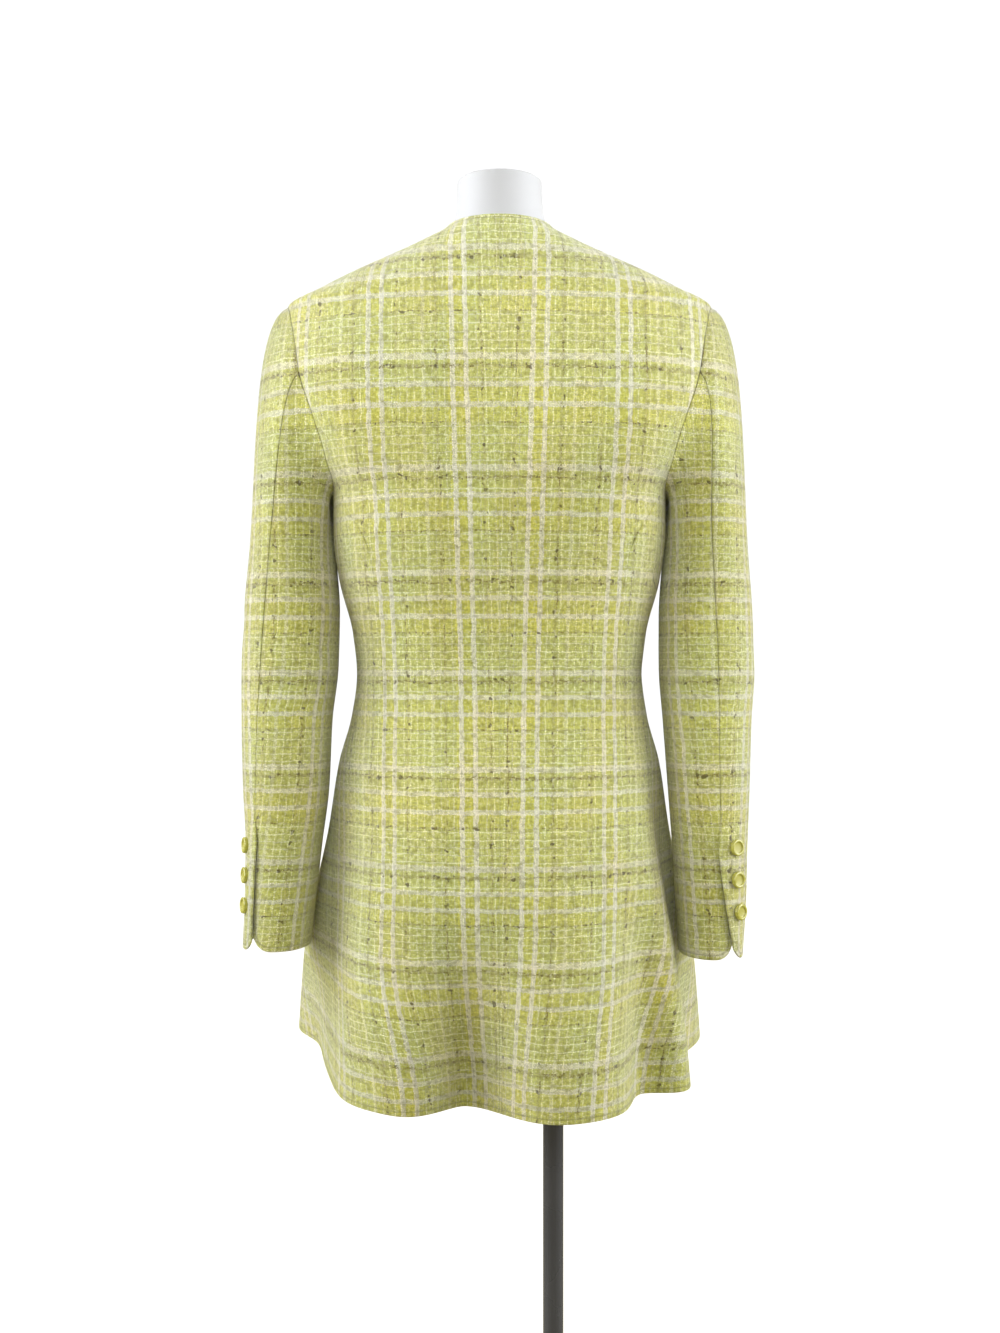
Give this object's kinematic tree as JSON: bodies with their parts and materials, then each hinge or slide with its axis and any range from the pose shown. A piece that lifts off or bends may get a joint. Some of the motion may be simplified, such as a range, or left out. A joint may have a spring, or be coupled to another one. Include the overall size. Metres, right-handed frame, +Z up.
{
  "type": "collarless jacket on a dress form",
  "caption": "Fitted collarless jacket with flared skirt, two-piece sleeves and buttoned cuff vents, worn by a limbless dress form on a stand with a round base.",
  "frame": {"origin": "centre of the underside of the stand's base, on the pole's axis", "axes": "+Z up, the jacket faces -Y, the wearer's left is +X"},
  "size_m": [0.471, 0.3349, 1.43],
  "materials": {
    "tweed": "loose boucle tweed in a yellow-green and cream check, matt",
    "buttons": "yellow, raised rim and plain face, satin gloss",
    "form": "smooth off-white, matt",
    "stand": "dark grey, satin"
  },
  "bodies": {
    "root": {"back_left": "tweed", "back_right": "tweed", "side_back_left": "tweed", "side_back_right": "tweed", "front_left": "tweed", "front_right": "tweed", "upper_sleeve_left": "tweed", "upper_sleeve_right": "tweed", "under_sleeve_left": "tweed", "under_sleeve_right": "tweed", "cuff_button_left_1": "buttons", "cuff_button_left_2": "buttons", "cuff_button_left_3": "buttons", "cuff_button_right_1": "buttons", "cuff_button_right_2": "buttons", "cuff_button_right_3": "buttons", "front_button_1": "buttons", "front_button_2": "buttons", "front_button_3": "buttons", "front_button_4": "buttons", "front_button_5": "buttons", "form_torso": "form", "form_flange": "stand", "stand_pole": "stand", "stand_base": "stand"}
  },
  "joints": []
}
